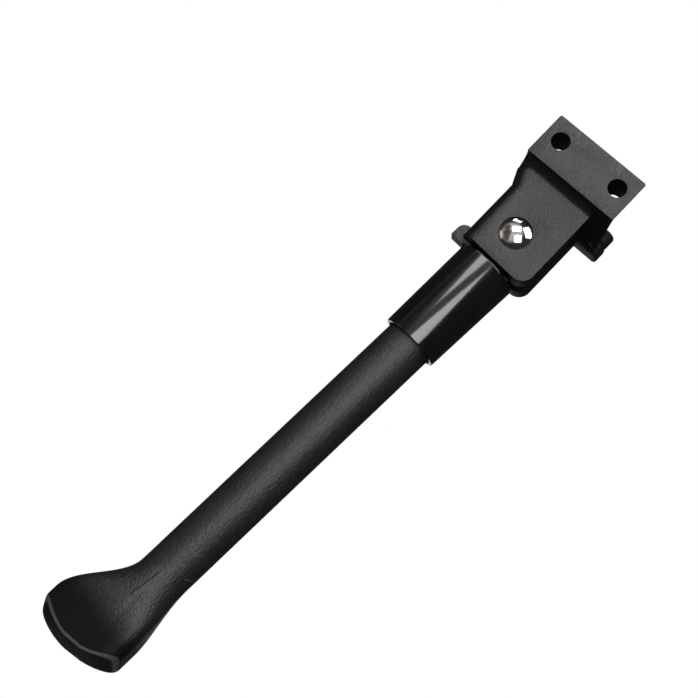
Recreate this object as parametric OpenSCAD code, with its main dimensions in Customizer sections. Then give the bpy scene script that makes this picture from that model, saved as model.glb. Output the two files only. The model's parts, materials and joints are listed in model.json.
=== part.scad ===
// Folding kickstand of an electric scooter: a cast bracket that bolts to the deck's side,
// and a leg that swings from straight down to level.
// X runs along the two bolts, Z points up, and the bolted face is the plane Y = 0.
// The side with the pin's domed head faces -Y.

/* [Mounting block] */
// Width of the block along the bolts
block_w = 36; // [33:0.5:42]
// Height of the block
block_h = 16.2; // [15:0.1:20]
// Thickness of the block, which is the length of its bolt holes
block_t = 14.3; // [13:0.1:18]
// Distance between the two bolt holes
bolt_spacing = 24; // [20:0.5:25]
// Diameter of the bolt holes
bolt_d = 6.4; // [5.5:0.1:8.5]
// How far the block's middle lies below the bolts
block_drop = 1; // [0:0.1:2]
// How far the block's middle lies to the right of the bolts
block_shift = 0.05; // [0:0.05:1]
// Radius of the block's upper corners
block_corner_r = 0.8; // [0.5:0.1:3]
// How much narrower the block is at its bolted face, on the right
end_draft = 2; // [0:0.1:2.5]

/* [Clevis] */
// How far the pivot lies to the left of the bolts' middle
pivot_left = 2.5; // [1:0.1:4]
// How far the pivot lies below the bolts
pivot_drop = 31.7; // [31:0.1:40]
// How far the front cheek's face lies behind the block's face
face_step = 4.4; // [3.5:0.1:5]
// Thickness of the front cheek
front_cheek_t = 6.6; // [5:0.1:8]
// Width of the slot between the cheeks
slot_w = 6.6; // [6:0.1:9]
// Thickness of the rear cheek
rear_cheek_t = 5.6; // [4.5:0.1:8]
// Distance from the pivot to the cheeks' left side
cheek_left = 12.95; // [12:0.05:14]
// Distance from the pivot to the cheeks' right side
cheek_right = 13.7; // [12.5:0.1:15]
// Distance from the pivot to the cheeks' bottom
cheek_bottom = 11.25; // [10:0.05:11.5]
// Radius of the cheeks' lower right corner
cheek_corner_r = 4.5; // [4:0.1:7]
// Radius of the rounded edge along the front cheek's left side
side_round_r = 4.8; // [2:0.1:6]
// Height above the pivot at which the left side starts to flare out
flare_start = 12.7; // [10:0.1:16]
// Height of the slot's roof above the pivot
slot_roof = 12.5; // [12:0.1:14]
// Thickness of the web that closes the slot on the left
web_t = 3; // [2.4:0.1:3.2]

/* [Rear ear and buffer] */
// Distance from the pivot to the ear's right end
ear_right = 22.6; // [22:0.1:26]
// Height of the ear's underside above the pivot
ear_bottom = 15.1; // [14:0.1:15.6]
// Height of the ear's top above the pivot
ear_top = 20.8; // [20:0.1:22]
// Radius of the ear's corners
ear_corner_r = 1.2; // [0.5:0.1:2]
// How far the ramp under the block drops from front to rear
ramp_drop = 6.6; // [4:0.1:7.5]
// Lean of the ramp's right side towards the middle, in degrees
ramp_lean = 12; // [0:1:20]
// Reach of the gusset in front of the ear
gusset_reach = 2.6; // [1:0.1:4]
// Diameter of the buffer's head
buffer_d = 6.4; // [5:0.1:7]
// How far the buffer's head stands above the ear
buffer_h = 4.4; // [2:0.1:5]
// Diameter of the buffer's stem
buffer_stem_d = 3.2; // [2.5:0.1:4]
// Length of the buffer's stem
buffer_stem_l = 4; // [3:0.1:4.5]

/* [Pivot] */
// Diameter of the pin's shank
pin_d = 8; // [6:0.1:8.5]
// Diameter of the pin's domed head
pin_head_d = 10.2; // [9.6:0.1:11]
// Height of the dome
pin_dome_h = 2.4; // [1.5:0.1:3]
// Gap around the pin's head
head_gap = 0.5; // [0.3:0.05:0.8]
// Depth of the counterbore that holds the head
head_seat_depth = 1.6; // [1:0.1:2.5]
// Radial clearance of the pin in the cheeks and in the bush
pin_clear = 0.05; // [0.02:0.01:0.1]
// Wall of the bush
bush_wall = 1.2; // [0.8:0.1:1.6]
// Thickness of each thrust washer
thrust_t = 0.5; // [0.3:0.1:0.8]
// Gap on each side of the tongue with its washers
thrust_gap = 0.1; // [0.05:0.05:0.2]
// Outer diameter of the thrust washers
thrust_d = 15; // [13:0.5:17]
// Outer diameter of the rear washer
rear_washer_d = 15; // [12:0.5:18]
// Thickness of the rear washer
rear_washer_t = 1; // [0.6:0.1:1.6]
// Outer diameter of the retaining clip
clip_d = 14; // [12:0.5:16]
// Thickness of the retaining clip
clip_t = 0.9; // [0.6:0.1:1.4]
// Diameter of the groove for the clip
clip_groove_d = 6; // [5:0.1:6.4]
// Length of the pin behind the clip
pin_tail = 1; // [0.6:0.1:2]

/* [Leg] */
// Lean of the lowered leg to the left, in degrees
lean = 2.6; // [0:0.1:4]
// Diameter of the leg's shaft
leg_d = 17; // [16:0.1:17.6]
// Distance from the pivot to the leg's shoulder
leg_top = 34; // [32:0.5:37]
// Distance from the pivot to where the foot starts
foot_start = 149.5; // [130:0.5:160]
// Distance from the pivot to the sole, at its lowest on the leg's own plane
sole_drop = 193.2; // [185:0.1:205]
// Reach of the foot to the left of the leg's axis
foot_left = 20.8; // [16:0.1:24]
// Reach of the foot to the right of the leg's axis
foot_right = 11.3; // [10:0.1:16]
// Reach of the foot in front of the leg's axis
foot_front = 13.2; // [12:0.1:16]
// Reach of the foot behind the leg's axis
foot_rear = 8.7; // [8.6:0.1:14]
// How much the foot's front face leans back towards its left side, in degrees
foot_lean = 12; // [0:0.5:13]
// Slant of the sole, in degrees
sole_slant = 17; // [0:0.5:25]
// Radius of the sole's curve, from left to right
sole_r = 29.5; // [22:0.1:40]
// Distance from the leg's axis to the sole's lowest point, to the left
sole_peak = 7.3; // [0:0.1:10]
// Radius of the edge round the sole
rim_r = 1.6; // [0.8:0.1:2.5]

/* [Pivot head] */
// Radius of the eye
eye_r = 9.3; // [8.5:0.1:9.5]
// Reach of the stop heel to the left of the leg's axis
heel_left = 16.3; // [14:0.1:18]
// Distance from the pivot to the heel's lower face
heel_bottom = 12.9; // [12.6:0.1:14]
// Distance from the pivot to the heel's upper face
heel_top = 6.9; // [5.5:0.1:8]
// Radius of the heel's outer corner
heel_corner_r = 3; // [1:0.1:3.5]
// Gap between the heel and the web that stops it
heel_gap = 0.2; // [0.1:0.05:0.4]
// Reach of the tongue's shoulder to the right of the leg's axis
shoulder_right = 8; // [6:0.1:8.5]
// Half the width of the neck
neck_half_w = 4.2; // [3:0.1:4.3]
// Diameter of the stem
stem_d = 9.8; // [9.4:0.1:10.2]
// Distance from the pivot to the stem's upper end
stem_top = 17; // [16.8:0.1:19]
// Depth of the stem in the leg
stem_depth = 24; // [18:0.5:30]
// Diameter of the cross pin
cross_pin_d = 4; // [3:0.1:5]
// Bore of the cross pin
cross_pin_bore = 2.2; // [1.4:0.1:2.6]
// Depth of the cross pin below the leg's shoulder
cross_pin_depth = 10; // [8:0.5:14]

/* [Sleeve and spring] */
// Distance from the pivot to the sleeve's upper end
sleeve_top = 12.5; // [12.3:0.1:13]
// Length of the sleeve
sleeve_l = 35.8; // [32:0.1:42]
// Wall of the sleeve
sleeve_wall = 1.3; // [1:0.05:1.5]
// Gap between the leg and the sleeve's mouth
sleeve_gap = 0.55; // [0.3:0.05:0.7]
// How much wider the sleeve is at its upper end than at its mouth
sleeve_flare = 1.2; // [0.8:0.1:1.4]
// Thickness of the sleeve's end wall
sleeve_end_t = 2; // [1.5:0.1:3]
// Radius of the sleeve's upper outer edge
sleeve_edge_r = 0.7; // [0.3:0.1:1]
// Gap between the stem and the hole in the sleeve's end wall
stem_gap = 0.4; // [0.2:0.05:0.6]
// Gap between the heel and the sleeve's upper end
sleeve_rest_gap = 0.3; // [0.2:0.05:0.5]
// Diameter of the spring's wire
wire_d = 1.6; // [1.2:0.1:1.7]
// Outer diameter of the spring
spring_d = 15.6; // [14.6:0.1:16]
// Number of the spring's coils
spring_coils = 5; // [4:1:5]
// Thickness of the washers at the spring's ends
seat_t = 1; // [0.6:0.1:1.2]

/* [Hidden] */
round_fn = 96;
small_fn = 48;
// Longer than any piece, for cuts that run right through
over = 80;
// How much the rounded edge's cutter is short of meeting the faces flush
round_bite = 0.02;
// How much rounder the left edge is beside the cove
top_round_extra = 0.1;
// Radius of the cove, a little more than its reach, so that it meets the cheek at a slight angle
cove_r = face_step + 0.2;
// How far the cove reaches into the cheek
cove_root = 1;
// How far the spring's washers stay inside the leg's shoulder, and clear of the stem
seat_inset = 0.3;
seat_clear = 0.2;

// Levels of the casting along Y
block_front_y = -block_t;
cheek_front_y = block_front_y + face_step;
slot_front_y = cheek_front_y + front_cheek_t;
slot_rear_y = slot_front_y + slot_w;
cheek_rear_y = slot_rear_y + rear_cheek_t;
leg_y = (slot_front_y + slot_rear_y) / 2;

// Sides of the block, seen from the pivot
block_left = pivot_left + block_shift - block_w / 2;
block_right = pivot_left + block_shift + block_w / 2;
block_bottom = pivot_drop - block_drop - block_h / 2;

// The left side flares out to the block's left end, which it reaches where the cove starts
flare_end = block_bottom - face_step;
flare_w = -cheek_left - block_left;
flare_angle = atan(flare_w / (flare_end - flare_start));

// Middle of the cheeks' rounded corner, tangent to the tilted bottom and the right side
corner_x = cheek_right - cheek_corner_r;
corner_z = -(cheek_bottom - cheek_corner_r + corner_x * sin(lean)) / cos(lean);

// The buffer stands in the outer corner of the ear, with a little room round its stem
buffer_inset = 0.1;
buffer_clear = 0.05;
buffer_x = ear_right - buffer_d / 2 - buffer_inset;
buffer_y = slot_rear_y + rear_cheek_t / 2;

tongue_t = slot_w - 2 * (thrust_t + thrust_gap);
bush_r = pin_d / 2 + pin_clear + bush_wall;
head_seat_y = cheek_front_y + head_seat_depth;
sleeve_mouth_d = leg_d + 2 * (sleeve_gap + sleeve_wall);
sleeve_top_d = sleeve_mouth_d + sleeve_flare;
tongue_bottom = sleeve_top - sleeve_rest_gap;
heel_inner = sleeve_top_d / 2 + sleeve_rest_gap;
seat_r = leg_d / 2 - seat_inset;
seat_z = leg_top - seat_t;
cap_z = sleeve_top + sleeve_end_t;

// Moves a piece from the pivot's frame to the row's frame
module at_pivot() {
    translate([-pivot_left, 0, -pivot_drop]) children();
}

// Puts a piece on the leg's axis: its own +Z runs from the foot up to the pivot
module on_leg() {
    at_pivot() translate([0, leg_y, 0]) rotate([0, lean, 0]) children();
}

// Extrudes an outline drawn in X and Z from y0 to y1
module plate(y0, y1) {
    translate([0, y1, 0]) rotate([90, 0, 0]) linear_extrude(y1 - y0) children();
}

// Round bar or hole along Y at the pivot
module y_bar(r, y0, y1) {
    translate([0, y1, 0]) rotate([90, 0, 0]) cylinder(r = r, h = y1 - y0, $fn = round_fn);
}

module y_ring(r_in, r_out, y0, y1) {
    difference() {
        y_bar(r_out, y0, y1);
        y_bar(r_in, y0 - 1, y1 + 1);
    }
}

// Square with rounded corners of its own radius on the chosen side
module rounded_box_outline(x0, x1, z0, z1, r) {
    translate([x0, z0 + r]) square([x1 - x0, z1 - z0 - 2 * r]);
    translate([x0 + r, z0]) square([x1 - x0 - 2 * r, z1 - z0]);
    for (x = [x0 + r, x1 - r], z = [z0 + r, z1 - r]) translate([x, z]) circle(r = r, $fn = small_fn);
}

// Area that stays of the cheeks at their tilted bottom and rounded corner
module cheek_limit() {
    intersection() {
        rotate(-lean) translate([-over, -cheek_bottom]) square([2 * over, 2 * over]);
        union() {
            translate([-over, corner_z]) square([2 * over, over]);
            translate([corner_x, corner_z]) rotate(-lean) translate([-over, -over]) square([over, 2 * over]);
            translate([corner_x, corner_z]) circle(r = cheek_corner_r, $fn = round_fn);
        }
    }
}

module cheek_outline() {
    intersection() {
        cheek_limit();
        polygon([[-cheek_left, -over], [cheek_right, -over], [cheek_right, block_bottom],
            [block_left, block_bottom], [block_left, flare_end], [-cheek_left, flare_start]]);
    }
}

// Space beside a rounded edge that runs up, with the edge on the left and in front
module round_off(r, h) {
    linear_extrude(h) difference() {
        translate([-1, -1]) square(r + 1);
        translate([r, r]) circle(r = r + round_bite, $fn = round_fn);
    }
}

// Everything above the mitre where the flare leaves the straight side
module above_mitre() {
    translate([-cheek_left, 0, flare_start]) rotate([0, -flare_angle / 2, 0])
        translate([-over, -over, 0]) cube(2 * over);
}

// Rounded edge along the left side: up the straight stretch, out along the flare and up again
module side_round() {
    r = side_round_r;
    reach = 2 * r;
    difference() {
        translate([-cheek_left, cheek_front_y, -over]) round_off(r, over + flare_start + reach);
        above_mitre();
    }
    intersection() {
        translate([-cheek_left, cheek_front_y, flare_start]) rotate([0, -flare_angle, 0])
            translate([0, 0, -reach]) round_off(r, 3 * reach);
        above_mitre();
    }
    translate([block_left, cheek_front_y, flare_end - reach]) round_off(r + top_round_extra, reach + face_step);
}

// Block with its upper corners rounded
module block_body() {
    r = block_corner_r;
    difference() {
        plate(block_front_y, 0) {
            translate([block_left, block_bottom]) square([block_w, block_h - r]);
            translate([block_left + r, block_bottom]) square([block_w - 2 * r, block_h]);
            for (x = [block_left + r, block_right - r])
                translate([x, block_bottom + block_h - r]) circle(r = r, $fn = small_fn);
        }
        translate([block_right, block_front_y, 0]) rotate([0, 0, atan(end_draft / block_t)])
            translate([0, -over, -over]) cube(2 * over);
    }
}

// Outline of the cove: its curve runs from the cheek's face, at 0, out under the block's edge
module cove_outline() {
    difference() {
        translate([-cove_root, 0]) square([cove_root + face_step, face_step]);
        translate([face_step, face_step - cove_r]) circle(r = cove_r, $fn = round_fn);
    }
}

// Cove between the cheek's face and the block, which turns round the left corner
module cove() {
    r = side_round_r;
    corner = [block_left + r, cheek_front_y + r, flare_end];
    translate(corner) rotate([90, 0, 90]) linear_extrude(cheek_right - corner[0])
        mirror([1, 0]) translate([r, 0]) cove_outline();
    intersection() {
        translate(corner) rotate([0, 0, 180]) rotate_extrude(angle = 90, $fn = round_fn)
            translate([r, 0]) cove_outline();
        translate([block_left, -over, 0]) cube(over);
    }
}

// Underside to the right of the cheek, sloping down towards the rear ear
ramp_turn = 4;
module ramp() {
    difference() {
        translate([cheek_right - 1, 0, 0]) rotate([90, 0, 90]) linear_extrude(block_right - cheek_right + 1)
            polygon([[block_front_y, block_bottom], [slot_rear_y + 1, block_bottom - ramp_drop],
                [slot_rear_y + 1, ear_top], [buffer_y - buffer_d / 2 - buffer_inset, ear_top],
                [-1, block_bottom + 1], [block_front_y + 1, block_bottom + 1]]);
        translate([block_right, block_front_y, block_bottom]) rotate([0, -ramp_lean, ramp_turn])
            translate([0, -over, -over]) cube(2 * over);
    }
}

// Wedge between the ramp and the ear, facing right and forward
module gusset() {
    translate([0, 0, ear_bottom + ear_corner_r]) linear_extrude(ear_top - ear_bottom - 2 * ear_corner_r)
        polygon([[block_right - gusset_reach, slot_rear_y - gusset_reach], [ear_right - ear_corner_r, slot_rear_y],
            [ear_right - ear_corner_r, slot_rear_y + 1], [block_right - gusset_reach, slot_rear_y + 1]]);
}

module rear_ear() {
    plate(slot_rear_y, cheek_rear_y)
        rounded_box_outline(cheek_right - ear_corner_r - 1, ear_right, ear_bottom, ear_top, ear_corner_r);
}

module mount_bracket() {
    color([0.12, 0.12, 0.12]) at_pivot() difference() {
        union() {
            block_body();
            difference() {
                plate(cheek_front_y, cheek_rear_y) cheek_outline();
                side_round();
            }
            cove();
            ramp();
            gusset();
            rear_ear();
        }
        // Slot for the tongue, open below and on the right
        plate(slot_front_y, slot_rear_y) difference() {
            translate([-over, -over]) square([2 * over, over + slot_roof]);
            translate([-cheek_left, -over]) square([web_t, 2 * over]);
        }
        // The web ends above the heel
        plate(slot_front_y, slot_rear_y)
            rotate(-lean) translate([-over, -over]) square([over, over - heel_top + heel_gap]);
        y_bar(pin_d / 2 + pin_clear, -over, over);
        y_bar(pin_head_d / 2 + head_gap, -over, head_seat_y);
        for (x = [-bolt_spacing / 2, bolt_spacing / 2])
            translate([pivot_left + x, 0, pivot_drop]) y_bar(bolt_d / 2, -over, over);
        translate([buffer_x, buffer_y, ear_top - buffer_stem_l - buffer_clear])
            cylinder(d = buffer_stem_d + 2 * buffer_clear, h = over, $fn = small_fn);
    }
}

// Rubber button on the ear, with a stem that fills a hole in it
module rubber_buffer() {
    r = buffer_h / 4;
    color([0.05, 0.05, 0.05]) at_pivot() translate([buffer_x, buffer_y, ear_top]) {
        translate([0, 0, -buffer_stem_l]) cylinder(d = buffer_stem_d, h = buffer_stem_l + 1, $fn = small_fn);
        rotate_extrude($fn = small_fn) {
            square([buffer_d / 2 - r, buffer_h]);
            square([buffer_d / 2, buffer_h - r]);
            translate([buffer_d / 2 - r, buffer_h - r]) circle(r = r, $fn = small_fn);
        }
    }
}

// Pin with a domed head in front and a groove for the clip behind
module pivot_pin() {
    head_r = pin_head_d / 2;
    dome_r = (head_r * head_r + pin_dome_h * pin_dome_h) / (2 * pin_dome_h);
    clip_y = cheek_rear_y + rear_washer_t;
    color([0.75, 0.75, 0.76]) at_pivot() {
        difference() {
            y_bar(pin_d / 2, head_seat_y - head_seat_depth / 4, clip_y + clip_t + pin_tail);
            y_ring(clip_groove_d / 2, pin_d, clip_y, clip_y + clip_t);
        }
        translate([0, head_seat_y, 0]) rotate([90, 0, 0]) rotate_extrude($fn = round_fn) {
            square([head_r, head_seat_depth / 2]);
            translate([0, head_seat_depth / 2]) intersection() {
                translate([0, pin_dome_h - dome_r]) circle(r = dome_r, $fn = round_fn * 2);
                square([head_r, pin_dome_h]);
            }
        }
    }
}

module rear_washer() {
    color([0.7, 0.7, 0.72]) at_pivot()
        y_ring(pin_d / 2 + pin_clear, rear_washer_d / 2, cheek_rear_y, cheek_rear_y + rear_washer_t);
}

// Clip that snaps into the pin's groove from below
clip_mouth_share = 0.8;
module retaining_clip() {
    y0 = cheek_rear_y + rear_washer_t;
    mouth = clip_groove_d * clip_mouth_share;
    color([0.25, 0.25, 0.26]) at_pivot() difference() {
        y_ring(clip_groove_d / 2, clip_d / 2, y0, y0 + clip_t);
        translate([-mouth / 2, y0 - 1, -clip_d]) cube([mouth, clip_t + 2, clip_d]);
    }
}

// Tongue with the eye, the stop heel and the neck, drawn along the leg's axis
module tongue_outline() {
    r = heel_corner_r;
    circle(r = eye_r, $fn = round_fn);
    translate([-heel_inner, -tongue_bottom])
        square([heel_inner + shoulder_right, tongue_bottom - heel_top]);
    translate([-heel_left, -heel_bottom]) square([heel_left - heel_inner, heel_bottom - heel_top - r]);
    translate([-heel_left + r, -heel_bottom]) square([heel_left - heel_inner - r, heel_bottom - heel_top]);
    translate([-heel_left + r, -heel_top - r]) circle(r = r, $fn = small_fn);
    translate([-neck_half_w, -stem_top - 1]) square([2 * neck_half_w, stem_top + 1]);
}

module pivot_head() {
    color([0.1, 0.1, 0.1]) on_leg() difference() {
        union() {
            plate(-tongue_t / 2, tongue_t / 2) tongue_outline();
            translate([0, 0, -leg_top - stem_depth])
                cylinder(d = stem_d, h = leg_top + stem_depth - stem_top, $fn = round_fn);
        }
        y_bar(bush_r, -over, over);
        cross_pin_hole();
    }
}

module cross_pin_hole() {
    translate([0, 0, -leg_top - cross_pin_depth]) y_bar(cross_pin_d / 2, -over, over);
}

module pivot_bush() {
    color([0.6, 0.5, 0.3]) on_leg() y_ring(pin_d / 2 + pin_clear, bush_r, -tongue_t / 2, tongue_t / 2);
}

module front_thrust_washer() {
    color([0.85, 0.85, 0.8]) on_leg()
        y_ring(pin_d / 2 + 2 * pin_clear, thrust_d / 2, -tongue_t / 2 - thrust_t, -tongue_t / 2);
}

module rear_thrust_washer() {
    color([0.85, 0.85, 0.8]) on_leg()
        y_ring(pin_d / 2 + 2 * pin_clear, thrust_d / 2, tongue_t / 2, tongue_t / 2 + thrust_t);
}

// Eases from 0 to 1 as t runs from 0 to 1
function ease(t) = t <= 0 ? 0 : t >= 1 ? 1 : t * t * (3 - 2 * t);
function mix(a, b, t) = a + (b - a) * t;
function signed_power(v, p) = sign(v) * pow(abs(v), p);

// Height of the sole under the point x, y of the leg's own frame: slanted, and curved less and
// lower on the left towards the rear
sole_grow = 0.55;
sole_shift = 0.27;
function sole(x, y) =
    let (from_peak = x + sole_peak + sole_shift * y)
    -sole_drop - y * tan(sole_slant) + from_peak * from_peak / (2 * (sole_r + sole_grow * y));

// Point of the foot's outline at the angle a, when a share t of its flare is done
foot_step = 0.1;
front_corner = 0.36;
right_corner = 0.74;
left_flare = [0.2, 0.67];
right_flare = [0.13, 0.68];
front_share = 0.9;
function foot_section(a, t) =
    let (
        r = leg_d / 2 + foot_step,
        c = cos(a),
        s = sin(a),
        flare = c > 0 ? right_flare : left_flare,
        wide = ease((t - flare[0]) / flare[1]),
        deep = ease(t / (s > 0 ? 1 : front_share)),
        x = signed_power(c, mix(1, c > 0 ? right_corner : front_corner, wide))
            * mix(r, c > 0 ? foot_right : foot_left, wide),
        lean_back = s > 0 ? 0 : wide * tan(foot_lean) * (foot_right - x),
        y_reach = mix(r, s > 0 ? foot_rear : foot_front, deep) - lean_back
    )
    [x, signed_power(s, mix(1, front_corner, wide)) * y_reach];

// One ring of the wall, at the share t of the way from the shaft to the sole's edge
foot_sides = 44;
foot_angles = [for (i = [0 : foot_sides - 1]) 360 * i / foot_sides];
function wall_ring(t) = [for (a = foot_angles)
    let (p = foot_section(a, t), e = foot_section(a, 1))
    [p[0], p[1], mix(-foot_start, sole(e[0], e[1]) + rim_r, t)]];

// One ring of the rounded edge, at the angle b of its quarter round
function edge_ring(b) = [for (a = foot_angles)
    let (
        e = foot_section(a, 1),
        inset = rim_r * (1 - cos(b)),
        x = e[0] * (1 - inset / (e[0] > 0 ? foot_right : foot_left)),
        y = e[1] * (1 - inset / (e[1] > 0 ? foot_rear : foot_front))
    )
    [x, y, sole(x, y) + rim_r * (1 - sin(b))]];

// One ring of the sole, shrunk to the share q
function sole_ring(q) = [for (p = edge_ring(90)) [p[0] * q, p[1] * q, sole(p[0] * q, p[1] * q)]];

foot_steps = 16;
edge_steps = 3;
sole_shares = [0.6, 0.2];
foot_overlap = 1;

module foot() {
    rings = concat(
        [for (i = [0 : foot_steps]) wall_ring(i / foot_steps)],
        [for (i = [1 : edge_steps]) edge_ring(90 * i / edge_steps)],
        [for (q = sole_shares) sole_ring(q)]
    );
    n = foot_sides;
    points = [for (ring = rings) each ring];
    last = (len(rings) - 1) * n;
    walls = [for (i = [0 : len(rings) - 2], j = [0 : n - 1])
        let (a = i * n + j, b = i * n + (j + 1) % n)
        each [[a, b, a + n], [b, b + n, a + n]]];
    tip = [for (j = [0 : n - 1]) [last + j, last + (j + 1) % n, len(points)]];
    polyhedron(concat(points, [[0, 0, sole(0, 0)]]), concat(walls, [[for (j = [n - 1 : -1 : 0]) j]], tip));
}

// Shaft and foot in one piece, with the stem's bore at the top
module leg() {
    color([0.13, 0.13, 0.13]) on_leg() difference() {
        union() {
            translate([0, 0, -foot_start - foot_overlap])
                cylinder(d = leg_d, h = foot_start + foot_overlap - leg_top, $fn = round_fn);
            foot();
        }
        translate([0, 0, -leg_top - stem_depth]) cylinder(d = stem_d, h = over, $fn = round_fn);
        cross_pin_hole();
    }
}

// Slotted spring pin, a little shorter than the shaft is thick
pin_inset = 0.6;
pin_slot = 0.6;
module cross_pin() {
    half = leg_d / 2 - pin_inset;
    color([0.3, 0.3, 0.3]) on_leg() translate([0, 0, -leg_top - cross_pin_depth]) difference() {
        y_ring(cross_pin_bore / 2, cross_pin_d / 2, -half, half);
        translate([0, -over, -pin_slot / 2]) cube([over, 2 * over, pin_slot]);
    }
}

// Cup that slides on the leg, with a hole for the stem in its end wall
module sleeve() {
    r_top = sleeve_top_d / 2;
    r_mouth = sleeve_mouth_d / 2;
    z_top = -sleeve_top;
    z_mouth = z_top - sleeve_l;
    z_edge = z_top - sleeve_edge_r;
    color([0.02, 0.02, 0.02]) on_leg() rotate_extrude($fn = round_fn) difference() {
        union() {
            polygon([[0, z_mouth], [r_mouth, z_mouth], [r_top, z_edge], [0, z_edge]]);
            translate([0, z_edge]) square([r_top - sleeve_edge_r, sleeve_edge_r]);
            translate([r_top - sleeve_edge_r, z_edge]) circle(r = sleeve_edge_r, $fn = small_fn);
        }
        polygon([[0, z_mouth - 1], [r_mouth - sleeve_wall, z_mouth - 1],
            [r_top - sleeve_wall - sleeve_edge_r / 2, -cap_z], [0, -cap_z]]);
        translate([0, z_mouth]) square([stem_d / 2 + stem_gap, sleeve_l + 1]);
    }
}

// Compression spring around the stem: a round wire on a helix whose end coils lie close
spring_steps = 20;
spring_sides = 7;
spring_coil_gap = 0.1;

// Height of the wire's middle after t turns
function spring_height(t) =
    let (
        z0 = -seat_z + wire_d / 2,
        z1 = -cap_z - seat_t - wire_d / 2,
        close = wire_d + spring_coil_gap
    )
    t < 1 ? z0 + close * t :
    t > spring_coils - 1 ? z1 - close * (spring_coils - t) :
    mix(z0 + close, z1 - close, (t - 1) / (spring_coils - 2));

module detent_spring() {
    r = spring_d / 2 - wire_d / 2;
    count = spring_coils * spring_steps;
    n = spring_sides;
    points = [for (i = [0 : count], j = [0 : n - 1])
        let (a = 360 * i / spring_steps, b = 360 * j / n, w = r + wire_d / 2 * cos(b))
        [w * cos(a), w * sin(a), spring_height(i / spring_steps) + wire_d / 2 * sin(b)]];
    walls = [for (i = [0 : count - 1], j = [0 : n - 1])
        let (a = i * n + j, b = i * n + (j + 1) % n)
        each [[a, a + n, b], [b, a + n, b + n]]];
    color([0.5, 0.5, 0.52]) on_leg() polyhedron(points,
        concat(walls, [[for (j = [0 : n - 1]) j]], [[for (j = [n - 1 : -1 : 0]) count * n + j]]));
}

module spring_washer(z) {
    translate([0, 0, -z - seat_t]) difference() {
        cylinder(r = seat_r, h = seat_t, $fn = round_fn);
        translate([0, 0, -1]) cylinder(r = stem_d / 2 + seat_clear, h = seat_t + 2, $fn = round_fn);
    }
}

module spring_seat() {
    color([0.6, 0.6, 0.62]) on_leg() spring_washer(seat_z);
}

module spring_cap() {
    color([0.6, 0.6, 0.62]) on_leg() spring_washer(cap_z);
}

mount_bracket();
rubber_buffer();
pivot_pin();
rear_washer();
retaining_clip();
pivot_head();
pivot_bush();
front_thrust_washer();
rear_thrust_washer();
leg();
cross_pin();
sleeve();
detent_spring();
spring_seat();
spring_cap();
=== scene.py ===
"""Looks of a folding scooter kickstand: cast bracket, sprung sleeve, round leg with a flared foot.

The file is laid out as an add-on and run as a script. Sizes are in metres, in the frame's own axes:
X along the two bolts, Z up, and the pin's domed head faces -Y.
"""

import json
import math

import bmesh
import bpy
from bpy.props import FloatProperty, FloatVectorProperty, IntProperty, PointerProperty
from mathutils import Matrix, Vector


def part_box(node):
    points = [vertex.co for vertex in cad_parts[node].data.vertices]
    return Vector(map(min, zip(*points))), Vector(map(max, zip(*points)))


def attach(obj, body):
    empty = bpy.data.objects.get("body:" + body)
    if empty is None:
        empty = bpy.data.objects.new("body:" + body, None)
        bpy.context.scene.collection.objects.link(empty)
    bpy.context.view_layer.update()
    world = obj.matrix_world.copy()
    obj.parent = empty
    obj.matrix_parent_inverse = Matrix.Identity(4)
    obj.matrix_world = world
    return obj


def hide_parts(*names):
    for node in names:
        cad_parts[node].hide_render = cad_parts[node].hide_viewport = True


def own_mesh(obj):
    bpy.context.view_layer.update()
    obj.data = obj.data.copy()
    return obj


bl_info = {
    "name": "Folding Kickstand",
    "version": (1, 0, 0),
    "blender": (4, 5, 0),
    "location": "View3D > Sidebar > Kickstand",
    "description": "Builds a folding scooter kickstand with its finishes and a plain stage",
    "category": "Object",
}

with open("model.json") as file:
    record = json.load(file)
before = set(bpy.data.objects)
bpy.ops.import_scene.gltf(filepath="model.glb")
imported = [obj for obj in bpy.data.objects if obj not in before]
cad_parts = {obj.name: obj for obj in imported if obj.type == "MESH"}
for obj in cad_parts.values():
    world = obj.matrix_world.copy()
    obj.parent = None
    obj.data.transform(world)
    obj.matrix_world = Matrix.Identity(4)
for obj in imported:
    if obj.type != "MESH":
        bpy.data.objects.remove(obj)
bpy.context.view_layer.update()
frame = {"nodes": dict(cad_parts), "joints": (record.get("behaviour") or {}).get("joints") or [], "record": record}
MM = 0.001
UNTURNED = (0.0, 0.0, 0.0)

# Moving joints, and the nodes that ride on each body
FOLD = next(j for j in frame["joints"] if j["name"] == "leg_fold")
SLIDE = next(j for j in frame["joints"] if j["name"] == "sleeve_slide")
RIDERS = frame["record"]["behaviour"]["bodies"]
PIVOT = Vector(FOLD["pos_m"])
DOWN_LEG = Vector(SLIDE["axis"]).normalized()

# Places on the bracket, from the middle between the bolts
BOLTS = (-12 * MM, 12 * MM)
BORE_RADIUS = 3.2 * MM
BORE_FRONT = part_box("mount_bracket")[0][1] + 0.6 * MM
BLOCK_BOTTOM = -9.3 * MM
RECESS_LEFT = 11.3 * MM
RECESS_REAR = 5 * MM
EAR_FRONT = 3.3 * MM
SLOT_HALF = 3.2 * MM
SLOT_TOP = -18 * MM
RUBBED_CORNER = (-7.5 * MM, -14.3 * MM, 5.5 * MM)
RUBBED_SIDE = (8 * MM, -14.3 * MM, 5.5 * MM)

# Marks on the front of the leg: both ends, each as (right of the axis, down from the pivot)
SEAM = ((-0.1 * MM, 155.3 * MM), (-1.2 * MM, 168 * MM))
SCRATCH = ((6.4 * MM, 151.6 * MM), (8.2 * MM, 150.6 * MM))
# From the pivot, the span over which the foot's painted shade and its rim's painted highlight fade in
FOOT_SHADE_SPAN = (168 * MM, 180 * MM)

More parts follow.
